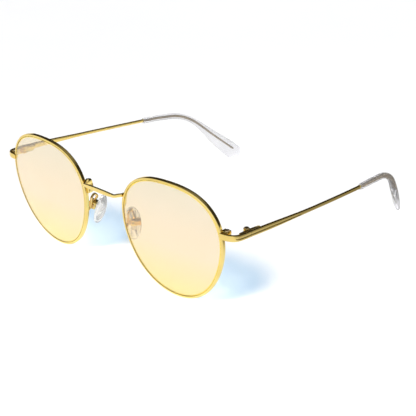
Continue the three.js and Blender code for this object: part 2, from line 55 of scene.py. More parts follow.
def filletOutline(corners, steps=4):
    # corners are x, y and how far the rounding reaches along each side
    points = []
    for index, (x, y, reach) in enumerate(corners):
        corner = Vector((x, y))
        before = Vector(corners[index - 1][:2])
        after = Vector(corners[(index + 1) % len(corners)][:2])
        start = corner + (before - corner).normalized() * reach
        end = corner + (after - corner).normalized() * reach
        for step in range(steps + 1):
            share = step / steps
            points.append(start.lerp(corner, share).lerp(corner.lerp(end, share), share))
    return points


def barOutline(width, height, reach, steps=4):
    x, y = width / 2, height / 2
    return filletOutline([(x, -y, reach), (x, y, reach), (-x, y, reach), (-x, -y, reach)], steps)


def roundOutline(width, height, count=32, fullness=2.0):
    # fullness 2 is an ellipse, and more squares it
    points = []
    for index in range(count):
        angle = 2 * math.pi * index / count
        c, s = math.cos(angle), math.sin(angle)
        x = math.copysign(abs(c) ** (2 / fullness), c) * width / 2
        y = math.copysign(abs(s) ** (2 / fullness), s) * height / 2
        points.append(Vector((x, y)))
    return points


def smoothPath(points, steps):
    # a centripetal curve through the points, as evenly spaced points
    knots = [Vector(point) for point in points]
    knots = [knots[0] * 2 - knots[1]] + knots + [knots[-1] * 2 - knots[-2]]
    dense = []
    for index in range(1, len(knots) - 2):
        p0, p1, p2, p3 = knots[index - 1:index + 3]
        d0, d1, d2 = ((b - a).length ** 0.5 for a, b in ((p0, p1), (p1, p2), (p2, p3)))
        out = ((p1 - p0) / d0 - (p2 - p0) / (d0 + d1) + (p2 - p1) / d1) * d1
        into = ((p2 - p1) / d1 - (p3 - p1) / (d1 + d2) + (p3 - p2) / d2) * d1
        for step in range(40):
            t = step / 40
            dense.append(p1 * (2 * t**3 - 3 * t**2 + 1) + out * (t**3 - 2 * t**2 + t)
                         + p2 * (3 * t**2 - 2 * t**3) + into * (t**3 - t**2))
    dense.append(knots[-2])
    lengths = [0.0]
    for a, b in zip(dense, dense[1:]):
        lengths.append(lengths[-1] + (b - a).length)
    path = []
    place = 0
    for step in range(steps + 1):
        wanted = lengths[-1] * step / steps
        while place < len(lengths) - 2 and lengths[place + 1] < wanted:
            place += 1
        span = lengths[place + 1] - lengths[place]
        path.append(dense[place].lerp(dense[place + 1], (wanted - lengths[place]) / span))
    return path


def sweepRings(path, outlineAt, reference):
    # outlineAt(share, point) gives the outline for that place on the path
    rings = []
    for index, point in enumerate(path):
        tangent = (path[min(index + 1, len(path) - 1)] - path[max(index - 1, 0)]).normalized()
        side = tangent.cross(reference).normalized()
        rise = side.cross(tangent)
        outline = outlineAt(index / (len(path) - 1), point)
        rings.append([point + side * x + rise * y for x, y in outline])
    return rings


def loft(bm, rings, domed=False):
    # extrudes the first ring through the others and closes both ends
    ring = [bm.verts.new(point) for point in rings[0]]
    loop = [bm.edges.new((ring[i - 1], ring[i])) for i in range(len(ring))]
    ends = [loop]
    for points in rings[1:]:
        made = bmesh.ops.extrude_edge_only(bm, edges=loop)["geom"]
        fresh = {item for item in made if isinstance(item, bmesh.types.BMVert)}
        nextRing = []
        for vert, point in zip(ring, points):
            copy = next(e.other_vert(vert) for e in vert.link_edges if e.other_vert(vert) in fresh)
            copy.co = point
            nextRing.append(copy)
        ring = nextRing
        loop = [bm.edges.get((ring[i - 1], ring[i])) for i in range(len(ring))]
    ends.append(loop)
    for edges in ends:
        face = bmesh.ops.contextual_create(bm, geom=edges)["faces"]
        if domed:
            bmesh.ops.poke(bm, faces=face)


def chamferedBox(bm, low, high, reach, segments=2, reshape=None):
    made = bmesh.ops.create_cube(bm, size=1)["verts"]
    size = [b - a for a, b in zip(low, high)]
    bmesh.ops.scale(bm, vec=size, verts=made)
    bmesh.ops.translate(bm, vec=[(a + b) / 2 for a, b in zip(low, high)], verts=made)
    if reshape:
        for vert in made:
            vert.co = reshape(vert.co)
    edges = list({edge for vert in made for edge in vert.link_edges})
    bmesh.ops.bevel(bm, geom=edges, offset=reach, segments=segments, affect="EDGES",
                    profile=0.5, material=-1)


def turnedBody(bm, profile, count=48, place=Matrix()):
    # profile is radius and height, from bottom to top, round the z axis
    rings = []
    for radius, height in profile:
        outline = roundOutline(radius * 2, radius * 2, count)
        rings.append([place @ Vector((x, y, height)) for x, y in outline])
    loft(bm, rings)


def prism(bm, outline, depth, reach):
    # an outline in the plane across x, pushed along x by depth
    verts = [bm.verts.new(Vector(point)) for point in outline]
    face = bmesh.ops.contextual_create(bm, geom=verts)["faces"]
    made = bmesh.ops.extrude_face_region(bm, geom=face)["geom"]
    top = [item for item in made if isinstance(item, bmesh.types.BMVert)]
    bmesh.ops.translate(bm, vec=depth, verts=top)
    edges = list({edge for vert in verts + top for edge in vert.link_edges})
    bmesh.ops.bevel(bm, geom=edges, offset=reach, segments=2, affect="EDGES", profile=0.5, material=-1)


# where the front, the hinges and the pads are

frontShape = {
    "lensSpacing": 69.56, "wrap": 3.0, "tilt": 6.6, "lensCurve": 145.0,
    "radius": 24.5, "triangle": 0.0435, "square": -0.0129,
    "wireWidth": 0.95, "wireDepth": 1.5, "splitAngle": 19.0,
}
hingeShape = {
    "reach": 6.43, "setback": 10.5, "rise": -0.1, "barThickness": 1.1, "gap": 0.1,
    "barrelRadius": 1.2, "middleBarrel": 1.2, "outerBarrel": 0.85, "fit": 0.06,
}
padSeatShape = {
    "footAngle": 186.0, "outset": 0.62, "setback": 3.76, "rise": 1.0, "splay": 25, "flare": 15,
}


def rimReach(angle):
    return frontShape["radius"] * (
        1 + frontShape["triangle"] * math.sin(3 * angle) + frontShape["square"] * math.cos(4 * angle))


def wirePoint(degrees, inwards=0.0, backwards=0.0):
    angle = math.radians(degrees)
    reach = rimReach(angle) - inwards
    depth = reach * reach / (2 * frontShape["lensCurve"]) + backwards
    return Vector((reach * math.cos(angle), depth, reach * math.sin(angle)))


tilt = math.radians(frontShape["tilt"])
footReach = rimReach(-math.pi / 2)
lensHeight = footReach * math.cos(tilt) - footReach**2 / (2 * frontShape["lensCurve"]) * math.sin(tilt)
frontPlace = Matrix.Translation((0, 0, lensHeight)) @ Matrix.Rotation(tilt, 4, "X")
lensPlace = (Matrix.Translation((frontShape["lensSpacing"] / 2, 0, 0))
             @ Matrix.Rotation(math.radians(frontShape["wrap"]), 4, "Z"))
lensInPart = frontPlace @ lensPlace
halfDepth = frontShape["wireDepth"] / 2

split = wirePoint(frontShape["splitAngle"])
rimFace = lensInPart @ wirePoint(frontShape["splitAngle"], 0, -halfDepth)
barCentre = rimFace.x + hingeShape["reach"] - hingeShape["barThickness"] / 2
hingeAxis = Vector((
    barCentre - hingeShape["barThickness"] / 2 - hingeShape["gap"] - hingeShape["barrelRadius"],
    hingeShape["setback"], rimFace.z + hingeShape["rise"]))
stackTop = hingeShape["middleBarrel"] / 2 + hingeShape["fit"] + hingeShape["outerBarrel"]
armFoot = lensInPart @ wirePoint(padSeatShape["footAngle"], frontShape["wireWidth"] / 2, halfDepth)
padSeat = armFoot + Vector((padSeatShape["outset"], padSeatShape["setback"], padSeatShape["rise"]))

# the hinge screw tells where the whole model stands
screwLow, screwHigh = (Vector(corner) * 1000 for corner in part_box("left_hinge_screw"))
standsAt = Vector((0, (screwLow.y + screwHigh.y) / 2 - hingeAxis.y,
                   screwLow.z + stackTop - hingeShape["fit"] / 2 - hingeAxis.z))
partPlace = Matrix.Translation(standsAt)
places = {
    "part": partPlace,
    "front": partPlace @ frontPlace,
    "lens": partPlace @ lensInPart,
    "hinge": partPlace @ Matrix.Translation(hingeAxis),
    "pad": (partPlace @ Matrix.Translation(padSeat)
            @ Matrix.Rotation(math.radians(-padSeatShape["splay"]), 4, "Z")
            @ Matrix.Rotation(math.radians(-padSeatShape["flare"]), 4, "Y")),
}


def addPiece(name, build, place, finish, slotName, body, node, isRight=False, sharpAngle=32,
             tailFinish=None, tailFrom=0.0, castsShadow=True):
    # faces behind tailFrom take the second finish
    bm = bmesh.new()
    build(bm)
    bmesh.ops.remove_doubles(bm, verts=bm.verts, dist=0.0005)
    for face in bm.faces:
        face.smooth = True
        if tailFinish and face.calc_center_median().y > tailFrom:
            face.material_index = 1
    bmesh.ops.transform(bm, matrix=Matrix.Scale(0.001, 4) @ places[place], verts=bm.verts)
    if isRight:
        bmesh.ops.scale(bm, vec=(-1, 1, 1), verts=bm.verts)
    bmesh.ops.recalc_face_normals(bm, faces=bm.faces)
    mesh = bpy.data.meshes.new(name)
    bm.to_mesh(mesh)
    bm.free()
    mesh.set_sharp_from_angle(angle=math.radians(sharpAngle))
    piece = bpy.data.objects.new(name, mesh)
    bpy.context.scene.collection.objects.link(piece)
    mesh.materials.append(finish)
    if tailFinish:
        mesh.materials.append(tailFinish)
    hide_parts(node)
    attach(piece, body)
    piece.visible_shadow = castsShadow


def addPair(node, build, place, finish, slotName, body, **options):
    # body "front" is shared, and the others have one for each side
    for side in sides:
        rideOn = body if body == "front" else f"{side}_{body}"
        addPiece(f"{side}_{node}_fine", build, place, finish, slotName, rideOn,
                 f"{side}_{node}", isRight=side == "right", **options)


# node groups for effects that several finishes share

def newGroup(name, inputs, outputs):
    group = bpy.data.node_groups.new(name, "ShaderNodeTree")
    for socketName, kind, value in inputs:
        group.interface.new_socket(socketName, in_out="INPUT", socket_type=kind).default_value = value
    for socketName, kind in outputs:
        group.interface.new_socket(socketName, in_out="OUTPUT", socket_type=kind)
    return group, group.nodes.new("NodeGroupInput"), group.nodes.new("NodeGroupOutput")


def addNode(tree, kind, **settings):
    node = tree.nodes.new(kind)
    for key, value in settings.items():
        if hasattr(node, key):
            setattr(node, key, value)
        else:
            node.inputs[key].default_value = value
    return node


def makeToneDrift():
    # slow change between two tones over the surface
    group, source, result = newGroup(
        "toneDrift",
        [("First Tone", "NodeSocketColor", (1, 1, 1, 1)),
         ("Second Tone", "NodeSocketColor", (0, 0, 0, 1)),
         ("Scale", "NodeSocketFloat", 60.0)],
        [("Color", "NodeSocketColor"), ("Mask", "NodeSocketFloat")])
    link = group.links.new
    where = addNode(group, "ShaderNodeTexCoord")
    noise = addNode(group, "ShaderNodeTexNoise", Detail=4.0, Roughness=0.55)
    ramp = addNode(group, "ShaderNodeMapRange")
    ramp.inputs["From Min"].default_value = 0.35
    ramp.inputs["From Max"].default_value = 0.65
    mix = addNode(group, "ShaderNodeMix", data_type="RGBA")
    link(where.outputs["Object"], noise.inputs["Vector"])
    link(source.outputs["Scale"], noise.inputs["Scale"])
    link(noise.outputs["Fac"], ramp.inputs["Value"])
    link(ramp.outputs["Result"], mix.inputs[0])
    link(source.outputs["First Tone"], mix.inputs[6])
    link(source.outputs["Second Tone"], mix.inputs[7])
    link(mix.outputs[2], result.inputs["Color"])
    link(ramp.outputs["Result"], result.inputs["Mask"])
    return group


def makePolishMarks():
    # fine rubbing marks: roughness that varies, and a very low height
    group, source, result = newGroup(
        "polishMarks",
        [("Least", "NodeSocketFloat", 0.1), ("Most", "NodeSocketFloat", 0.2),
         ("Scale", "NodeSocketFloat", 400.0)],
        [("Roughness", "NodeSocketFloat"), ("Height", "NodeSocketFloat")])
    link = group.links.new
    where = addNode(group, "ShaderNodeTexCoord")
    stretch = addNode(group, "ShaderNodeMapping")
    stretch.inputs["Scale"].default_value = (1.0, 0.18, 1.0)
    marks = addNode(group, "ShaderNodeTexNoise", Detail=6.0, Roughness=0.7)
    smudge = addNode(group, "ShaderNodeTexNoise", Scale=90.0, Detail=3.0)
    blendMarks = addNode(group, "ShaderNodeMath", operation="MULTIPLY_ADD")
    blendMarks.inputs[1].default_value = 0.5
    half = addNode(group, "ShaderNodeMath", operation="MULTIPLY")
    half.inputs[1].default_value = 0.5
    spread = addNode(group, "ShaderNodeMapRange")
    link(where.outputs["Object"], stretch.inputs["Vector"])
    link(stretch.outputs["Vector"], marks.inputs["Vector"])
    link(source.outputs["Scale"], marks.inputs["Scale"])
    link(where.outputs["Object"], smudge.inputs["Vector"])
    link(smudge.outputs["Fac"], half.inputs[0])
    link(marks.outputs["Fac"], blendMarks.inputs[0])
    link(half.outputs["Value"], blendMarks.inputs[2])
    link(blendMarks.outputs["Value"], spread.inputs["Value"])
    spread.inputs["From Min"].default_value = 0.35
    spread.inputs["From Max"].default_value = 0.65
    link(source.outputs["Least"], spread.inputs["To Min"])
    link(source.outputs["Most"], spread.inputs["To Max"])
    link(spread.outputs["Result"], result.inputs["Roughness"])
    link(marks.outputs["Fac"], result.inputs["Height"])
    return group


toneDrift = makeToneDrift()
polishMarks = makePolishMarks()


def newFinish(name):
    finish = bpy.data.materials.new(name)
    finish.use_nodes = True
    tree = finish.node_tree
    tree.nodes.clear()
    output = tree.nodes.new("ShaderNodeOutputMaterial")
    shader = tree.nodes.new("ShaderNodeBsdfPrincipled")
    tree.links.new(shader.outputs["BSDF"], output.inputs["Surface"])
    return finish, tree, shader, output


def addDrift(tree, first, second, scale):
    drift = addNode(tree, "ShaderNodeGroup", node_tree=toneDrift)
    drift.inputs["First Tone"].default_value = (*first, 1)
    drift.inputs["Second Tone"].default_value = (*second, 1)
    drift.inputs["Scale"].default_value = scale
    return drift


def addMarks(tree, shader, values):
    marks = addNode(tree, "ShaderNodeGroup", node_tree=polishMarks)
    marks.inputs["Least"].default_value = values["leastRoughness"]
    marks.inputs["Most"].default_value = values["mostRoughness"]
    marks.inputs["Scale"].default_value = values["markScale"]
    bump = addNode(tree, "ShaderNodeBump", Strength=values["bump"], Distance=0.00002)
    tree.links.new(marks.outputs["Roughness"], shader.inputs["Roughness"])
    tree.links.new(marks.outputs["Height"], bump.inputs["Height"])
    tree.links.new(bump.outputs["Normal"], shader.inputs["Normal"])


def makeMetal(name, values):
    finish, tree, shader = newFinish(name)[:3]
    shader.inputs["Metallic"].default_value = 1.0
    drift = addDrift(tree, values["tone"], values["deepTone"], values["driftScale"])
    tree.links.new(drift.outputs["Color"], shader.inputs["Base Color"])
    addMarks(tree, shader, values)
    return finish


metalValues = {
    "polished": {"tone": (0.90, 0.70, 0.26), "deepTone": (0.80, 0.59, 0.17), "driftScale": 70,
                 "leastRoughness": 0.06, "mostRoughness": 0.12, "markScale": 900, "bump": 0.12},
    "wire": {"tone": (0.88, 0.66, 0.27), "deepTone": (0.76, 0.54, 0.18), "driftScale": 110,
             "leastRoughness": 0.1, "mostRoughness": 0.18, "markScale": 1100, "bump": 0.16},
    "screw": {"tone": (0.78, 0.62, 0.36), "deepTone": (0.62, 0.46, 0.24), "driftScale": 240,
              "leastRoughness": 0.18, "mostRoughness": 0.32, "markScale": 1600, "bump": 0.25},
    "core": {"tone": (0.34, 0.25, 0.12), "deepTone": (0.24, 0.17, 0.08), "driftScale": 160,
             "leastRoughness": 0.2, "mostRoughness": 0.3, "markScale": 900, "bump": 0.2},
    "insert": {"tone": (0.88, 0.88, 0.86), "deepTone": (0.76, 0.76, 0.75), "driftScale": 260,
               "leastRoughness": 0.22, "mostRoughness": 0.34, "markScale": 1300, "bump": 0.2},
}
coreMetal = makeMetal("coreMetal", metalValues["core"])
insertSteel = makeMetal("insertSteel", metalValues["insert"])
polishedGold = makeMetal("polishedGold", metalValues["polished"])
wireGold = makeMetal("wireGold", metalValues["wire"])
screwGold = makeMetal("screwGold", metalValues["screw"])


def addShadowTint(tree, shader, output, tint):
    # light that passes through leaves a soft coloured shadow
    rays = tree.nodes.new("ShaderNodeLightPath")
    passing = addNode(tree, "ShaderNodeBsdfTransparent", Color=(*tint, 1))
    mix = tree.nodes.new("ShaderNodeMixShader")
    tree.links.new(rays.outputs["Is Shadow Ray"], mix.inputs["Fac"])
    tree.links.new(shader.outputs["BSDF"], mix.inputs[1])
    tree.links.new(passing.outputs["BSDF"], mix.inputs[2])
    tree.links.new(mix.outputs["Shader"], output.inputs["Surface"])


def makeClear(name, values):
    finish, tree, shader, output = newFinish(name)
    shader.inputs["Transmission Weight"].default_value = values["clearness"]
    shader.inputs["IOR"].default_value = values["ior"]
    drift = addDrift(tree, values["tone"], values["deepTone"], values["driftScale"])
    tree.links.new(drift.outputs["Color"], shader.inputs["Base Color"])
    addMarks(tree, shader, values)
    addShadowTint(tree, shader, output, values["shadow"])
    return finish


clearValues = {
    "acetate": {"clearness": 0.8, "tone": (0.90, 0.90, 0.92), "deepTone": (0.80, 0.80, 0.83),
                "driftScale": 60, "ior": 1.25,
                "leastRoughness": 0.02, "mostRoughness": 0.06, "markScale": 500, "bump": 0.05,
                "shadow": (0.80, 0.82, 0.85)},
    "silicone": {"clearness": 0.78, "tone": (0.95, 0.95, 0.94), "deepTone": (0.88, 0.88, 0.87),
                 "driftScale": 120, "ior": 1.38,
                 "leastRoughness": 0.07, "mostRoughness": 0.16, "markScale": 700, "bump": 0.10,
                 "shadow": (0.86, 0.87, 0.88)},
}
clearAcetate = makeClear("clearAcetate", clearValues["acetate"])
clearSilicone = makeClear("clearSilicone", clearValues["silicone"])

# the two edge values paint an amber glow in a thin ring at the lens's edge
lensValues = {
    "clearness": 0.92, "ior": 1.5, "reflection": (1.0, 0.86, 1.0), "shadow": (0.53, 0.68, 0.82),
    "topTone": (0.85, 0.76, 0.60), "middleTone": (0.98, 0.80, 0.57), "footTone": (0.98, 0.82, 0.36),
    "edgeGlowTone": (1.0, 0.68, 0.0), "edgeGlowStart": 0.97,
    "lowZ": 0.002, "highZ": 0.046, "middleAt": 0.45, "driftTone": (0.985, 0.985, 0.96), "driftScale": 35,
    "leastRoughness": 0.0, "mostRoughness": 0.002, "markScale": 300, "bump": 0.0,
}


def makeLensTint(name, values):
    # peach at the brow, yellower towards the foot, and a painted amber glow in a thin ring at the edge,
    # standing in for light caught along the lens's edge
    finish, tree, shader, output = newFinish(name)
    shader.inputs["Transmission Weight"].default_value = values["clearness"]
    shader.inputs["IOR"].default_value = values["ior"]
    shader.inputs["Specular Tint"].default_value = (*values["reflection"], 1)
    where = tree.nodes.new("ShaderNodeTexCoord")
    parts = tree.nodes.new("ShaderNodeSeparateXYZ")
    height = addNode(tree, "ShaderNodeMapRange")
    height.inputs["From Min"].default_value = values["lowZ"]
    height.inputs["From Max"].default_value = values["highZ"]
    ramp = tree.nodes.new("ShaderNodeValToRGB")
    ramp.color_ramp.elements[0].color = (*values["footTone"], 1)
    ramp.color_ramp.elements[1].color = (*values["topTone"], 1)
    ramp.color_ramp.elements.new(values["middleAt"]).color = (*values["middleTone"], 1)
    drift = addDrift(tree, (1, 1, 1), values["driftTone"], values["driftScale"])
    mix = addNode(tree, "ShaderNodeMix", data_type="RGBA", blend_type="MULTIPLY")
    mix.inputs[0].default_value = 1.0
    link = tree.links.new
    link(where.outputs["Object"], parts.inputs["Vector"])
    link(parts.outputs["Z"], height.inputs["Value"])
    link(height.outputs["Result"], ramp.inputs["Fac"])
    link(ramp.outputs["Color"], mix.inputs[6])
    link(drift.outputs["Color"], mix.inputs[7])
    # painted glow: a thin amber ring near the lens's edge
    share = addNode(tree, "ShaderNodeAttribute", attribute_name="edgeShare")
    rim = addNode(tree, "ShaderNodeMapRange", interpolation_type="SMOOTHSTEP")
    rim.inputs["From Min"].default_value = values["edgeGlowStart"]
    edge = addNode(tree, "ShaderNodeMix", data_type="RGBA")
    edge.inputs[7].default_value = (*values["edgeGlowTone"], 1)
    link(share.outputs["Fac"], rim.inputs["Value"])
    link(rim.outputs["Result"], edge.inputs[0])
    link(mix.outputs[2], edge.inputs[6])
    link(edge.outputs[2], shader.inputs["Base Color"])
    addMarks(tree, shader, values)
    addShadowTint(tree, shader, output, values["shadow"])
    return finish


blueLightLens = makeLensTint("blueLightLens", lensValues)
print("finishes made")


# eyewires and lenses, in the lens's own frame

eyewireShape = {"edgeRound": 0.32, "innerRound": 0.12, "grooveDepth": 0.4, "grooveHeight": 0.8,
                "grooveRound": 0.05, "splitGap": 0.2, "rings": 260}


def buildEyewire(bm):
    width = frontShape["wireWidth"]
    groove = eyewireShape["grooveHeight"] / 2
    edgeRound, innerRound, grooveRound = (
        eyewireShape[key] for key in ("edgeRound", "innerRound", "grooveRound"))
    section = filletOutline([
        (width, -halfDepth, innerRound), (0, -halfDepth, edgeRound), (0, halfDepth, edgeRound),
        (width, halfDepth, innerRound), (width, groove, grooveRound),
        (width - eyewireShape["grooveDepth"], 0, grooveRound), (width, -groove, grooveRound)])
    halfGap = math.degrees(eyewireShape["splitGap"] / 2 / frontShape["radius"])
    start = frontShape["splitAngle"] + halfGap
    turn = 360 - 2 * halfGap
    count = eyewireShape["rings"]
    loft(bm, [[wirePoint(start + turn * i / count, inwards, depth) for inwards, depth in section]
              for i in range(count + 1)])


lensShape = {"thickness": 1.3, "fit": 0.08, "bevel": 0.42, "bevelReach": 0.32, "edgeRound": 0.12,
             "rounds": 180}


def buildLens(bm):
    edge = frontShape["wireWidth"] + lensShape["fit"]
    half = lensShape["thickness"] / 2
    count = lensShape["rounds"]
    edgeRound = lensShape["edgeRound"]

    def ring(share, inwards, depth):
        points = []
        for i in range(count):
            angle = 2 * math.pi * i / count
            reach = (rimReach(angle) - inwards) * share
            sag = reach**2 / (2 * frontShape["lensCurve"])
            points.append(Vector((reach * math.cos(angle), sag + depth, reach * math.sin(angle))))
        return points

    shares = (0.02, 0.15, 0.3, 0.45, 0.6, 0.75, 0.88, 0.96)
    front = [ring(share, edge, -half) for share in shares]
    rim = [ring(1, edge + edgeRound, -half), ring(1, edge, -half + edgeRound),
           ring(1, edge, -lensShape["bevel"]), ring(1, edge - lensShape["bevelReach"], 0),
           ring(1, edge, lensShape["bevel"]), ring(1, edge, half - edgeRound),
           ring(1, edge + edgeRound, half)]
    back = [ring(share, edge, half) for share in reversed(shares)]
    loft(bm, front + rim + back, domed=True)
    # how near each point is to the edge, for the finish's painted edge glow
    edgeShare = bm.verts.layers.float.new("edgeShare")
    for vert in bm.verts:
        angle = math.atan2(vert.co.z, vert.co.x)
        vert[edgeShare] = min(math.hypot(vert.co.x, vert.co.z) / (rimReach(angle) - edge), 1.0)


addPair("eyewire", buildEyewire, "lens", polishedGold, "polished_gold", "front", castsShadow=False)
addPair("lens", buildLens, "lens", blueLightLens, "blue_light_lens", "front", sharpAngle=24)
print("eyewires and lenses made")


# closing blocks and their screws

blockShape = {"height": 1.5, "reach": 2.3, "depth": 2.2, "gap": 0.2, "proud": 0.55, "edge": 0.16,
              "solder": 0.06, "headRadius": 0.85, "headHeight": 0.5, "headLift": 0.31,
              "shankRadius": 0.5, "seatDepth": 0.35}
blockFront = split.y - halfDepth + hingeShape["barThickness"] - blockShape["proud"] + hingeShape["gap"]
closingAxis = Vector((split.x + hingeShape["gap"] + blockShape["reach"] * 0.55,
                      blockFront + blockShape["depth"] / 2, 0))


def followWire(corner):
    # the inner face leans with the wire beside it
    if corner.x > split.x + blockShape["reach"] / 2:
        return corner
    lean = math.tan(math.radians(frontShape["splitAngle"] + 2))
    return Vector((corner.x - (corner.z - split.z) * lean, corner.y, corner.z))


def buildClosingBlock(bm, low):
    chamferedBox(bm, (split.x + blockShape["solder"], blockFront, low),
                 (split.x + blockShape["reach"], blockFront + blockShape["depth"],
                  low + blockShape["height"]), blockShape["edge"], 3, followWire)


def slottedHead(bm, radius, height, shankRadius, shankLength, place):
    # the head's underside is at zero, and its top is two cheeks with the slot between them along x
    turnedBody(bm, [(shankRadius * 0.75, -shankLength), (shankRadius, -shankLength + shankRadius * 0.3),
                    (shankRadius, -0.02), (radius * 0.97, -0.01), (radius, height * 0.12),
                    (radius, height * 0.5), (radius * 0.93, height * 0.78),
                    (radius * 0.8, height * 0.92), (radius * 0.72, height * 0.94)], 48, place)
    cheekRadius = radius * 0.71
    slot = radius * 0.16
    for sign in (-1, 1):
        cheek = [(x, max(y, slot) * sign) for x, y in roundOutline(cheekRadius * 2, cheekRadius * 2, 48)
                 if y > -radius * 0.1 and abs(x) < cheekRadius]
        loft(bm, [[place @ Vector((x, y, z)) for x, y in cheek] for z in (height * 0.7, height)])


def buildClosingScrew(bm):
    seat = split.z + blockShape["gap"] / 2 + blockShape["height"] - blockShape["seatDepth"]
    length = blockShape["height"] * 2 + blockShape["gap"] - blockShape["seatDepth"]
    slottedHead(bm, blockShape["headRadius"], blockShape["headHeight"], blockShape["shankRadius"], length,
                Matrix.Translation((closingAxis.x, closingAxis.y, seat + blockShape["headLift"])))


upperLow = split.z + blockShape["gap"] / 2
lowerLow = split.z - blockShape["gap"] / 2 - blockShape["height"]
for blockNode, blockLow in (("closing_block_upper", upperLow), ("closing_block_lower", lowerLow)):
    addPair(blockNode, lambda bm, low=blockLow: buildClosingBlock(bm, low),
            "lens", polishedGold, "polished_gold", "front", castsShadow=False)
addPair("closing_screw", buildClosingScrew, "lens", screwGold, "screw_metal", "front", castsShadow=False)
print("closing blocks made")


# endpieces and temple bars, with one groove that runs on from the first to the second

barShape = {"height": 2.5, "wireHeight": 1.55, "taperStart": 7, "taperEnd": 37, "edge": 0.48,
            "overlap": 0.9, "overlapEnd": 0.075, "noseShare": 0.06, "noseHeight": 0.55,
            "grooveWidth": 0.8, "grooveDepth": 0.2, "grooveStart": 1.95, "grooveEnd": 29.0,
            "seam": 0.1, "tailStart": 72.2}


def groovedOutline(thickness, height, channel):
    # channel is 0 where there is no groove and 1 where it is full
    x, y = thickness / 2, height / 2
    edge = barShape["edge"]
    half = barShape["grooveWidth"] / 2 * max(channel, 0.02)
    depth = barShape["grooveDepth"] * min(channel * 1.5, 1)
    lip = half * 0.3
    return filletOutline([
        (x, -y, edge), (x, -half, lip * 0.5), (x - depth, -half + lip, lip * 0.5),
        (x - depth, half - lip, lip * 0.5), (x, half, lip * 0.5), (x, y, edge),
        (-x, y, edge), (-x, -y, edge)], 3)


def channelAt(distance):
    # round at the end of the groove
    reach = barShape["grooveWidth"] / 2
    if distance > reach:
        return 1.0
    if distance < 0:
        return 0.0
    return math.sqrt(1 - (1 - distance / reach) ** 2)


def buildEndpiece(bm):
    thickness = hingeShape["barThickness"]
    x = rimFace.x - barShape["overlap"]
    y = rimFace.y - blockShape["proud"] + thickness / 2
    z = hingeAxis.z
    path = smoothPath([
        (x, y, z), (x + 2.6, y + 0.15, z), (barCentre - 2.1, y + 0.9, z), (barCentre - 0.75, y + 2.5, z),
        (barCentre - 0.2, y + 5.1, z), (barCentre, hingeAxis.y - barShape["seam"] / 2, z)], 90)

    def outlineAt(share, point):
        # a round nose, and thinned where it lies over the wire
        nose = math.sqrt(min(share / barShape["noseShare"], 1))
        height = barShape["height"] * (barShape["noseHeight"] + (1 - barShape["noseHeight"]) * nose)
        outline = groovedOutline(thickness, height,
                                 channelAt(point.y - rimFace.y - barShape["grooveStart"]))
        if point.x > rimFace.x + barShape["overlapEnd"]:
            return outline
        inner = thickness / 2 - blockShape["proud"] + blockShape["solder"]
        return [Vector((max(a, inner), b)) for a, b in outline]

    loft(bm, sweepRings(path, outlineAt, upwards))


barOffset = hingeShape["barrelRadius"] + hingeShape["gap"] + hingeShape["barThickness"] / 2
barPoints = [
    (barOffset, barShape["seam"] / 2, 0), (barOffset + 0.25, 17, -0.65), (barOffset + 0.1, 37, -1.45),
    (barOffset - 0.6, 57, -2.3), (barOffset - 1.3, barShape["tailStart"], -2.9)]
# shares are places along the sleeve, from its start
tipShape = {"coreWidth": 0.6, "coreHeight": 1.0, "coreRound": 0.25, "coreShare": 0.93,
            "sleeveWidth": 2.3, "sleeveHeight": 2.7, "paddleWidth": 3.2, "paddleHeight": 9.2,
            "hangFrom": 1.3, "hangShare": 0.45, "paddleTwist": 20, "swellStart": 0.42, "swellEnd": 1.02,
            "startShare": 0.012, "endShare": 0.93, "endReach": 0.0705, "steps": 110, "coreSteps": 120}
tailStart = barShape["tailStart"]
corePoints = [
    (barOffset - 1.3, tailStart, -2.9), (barOffset - 2.5, tailStart + 12, -3.5),
    (barOffset - 4.0, tailStart + 23, -4.9), (barOffset - 5.7, tailStart + 31.5, -8.7),
    (barOffset - 9.6, tailStart + 43.5, -18.3), (barOffset - 16.0, tailStart + 58.5, -30.5)]


def smoothStep(value, low, high):
    share = min(max((value - low) / (high - low), 0), 1)
    return share * share * (3 - 2 * share)


def buildTemple(bm):
    def barAt(share, point):
        taper = smoothStep(point.y, barShape["taperStart"], barShape["taperEnd"])
        height = barShape["height"] + (barShape["wireHeight"] - barShape["height"]) * taper
        return groovedOutline(hingeShape["barThickness"], height,
                              channelAt(barShape["grooveEnd"] - point.y))

    loft(bm, sweepRings(smoothPath(barPoints, 200), barAt, upwards))
    steps = tipShape["coreSteps"]
    path = smoothPath(corePoints, steps)[:int(steps * tipShape["coreShare"]) + 1]
    core = barOutline(tipShape["coreWidth"], tipShape["coreHeight"], tipShape["coreRound"])

    def coreAt(share, point):
        # a blunt, rounded end
        end = 0.35 + 0.65 * math.sqrt(min((1 - share) / tipShape["startShare"], 1))
        return [corner * end for corner in core]

    loft(bm, sweepRings(path, coreAt, upwards))


def buildTempleTip(bm):
    shape = tipShape
    path = smoothPath(corePoints, shape["steps"])
    sleeve = roundOutline(shape["sleeveWidth"], shape["sleeveHeight"], 36, 2.2)

    def sleeveAt(share, point):
        swell = smoothStep(share, shape["swellStart"], shape["swellEnd"])
        end = math.sqrt(max(1 - (max(share - shape["endShare"], 0) / shape["endReach"]) ** 2, 0.01))
        start = 0.9 + 0.1 * math.sqrt(min(share / shape["startShare"], 1))
        wide = 1 + (shape["paddleWidth"] / shape["sleeveWidth"] - 1) * smoothStep(share, 0, 1)
        wide *= (0.45 + 0.55 * end) * start
        tall = (1 + (shape["paddleHeight"] / shape["sleeveHeight"] - 1) * swell) * end * start
        drop = (shape["paddleHeight"] / 2 - shape["hangFrom"]) * swell * shape["hangShare"]
        turn = math.radians(shape["paddleTwist"]) * swell
        outline = []
        for x, y in sleeve:
            a, b = x * wide, y * tall - drop
            outline.append(Vector((a * math.cos(turn) - b * math.sin(turn),
                                   a * math.sin(turn) + b * math.cos(turn))))
        return outline

    loft(bm, sweepRings(path, sleeveAt, upwards))


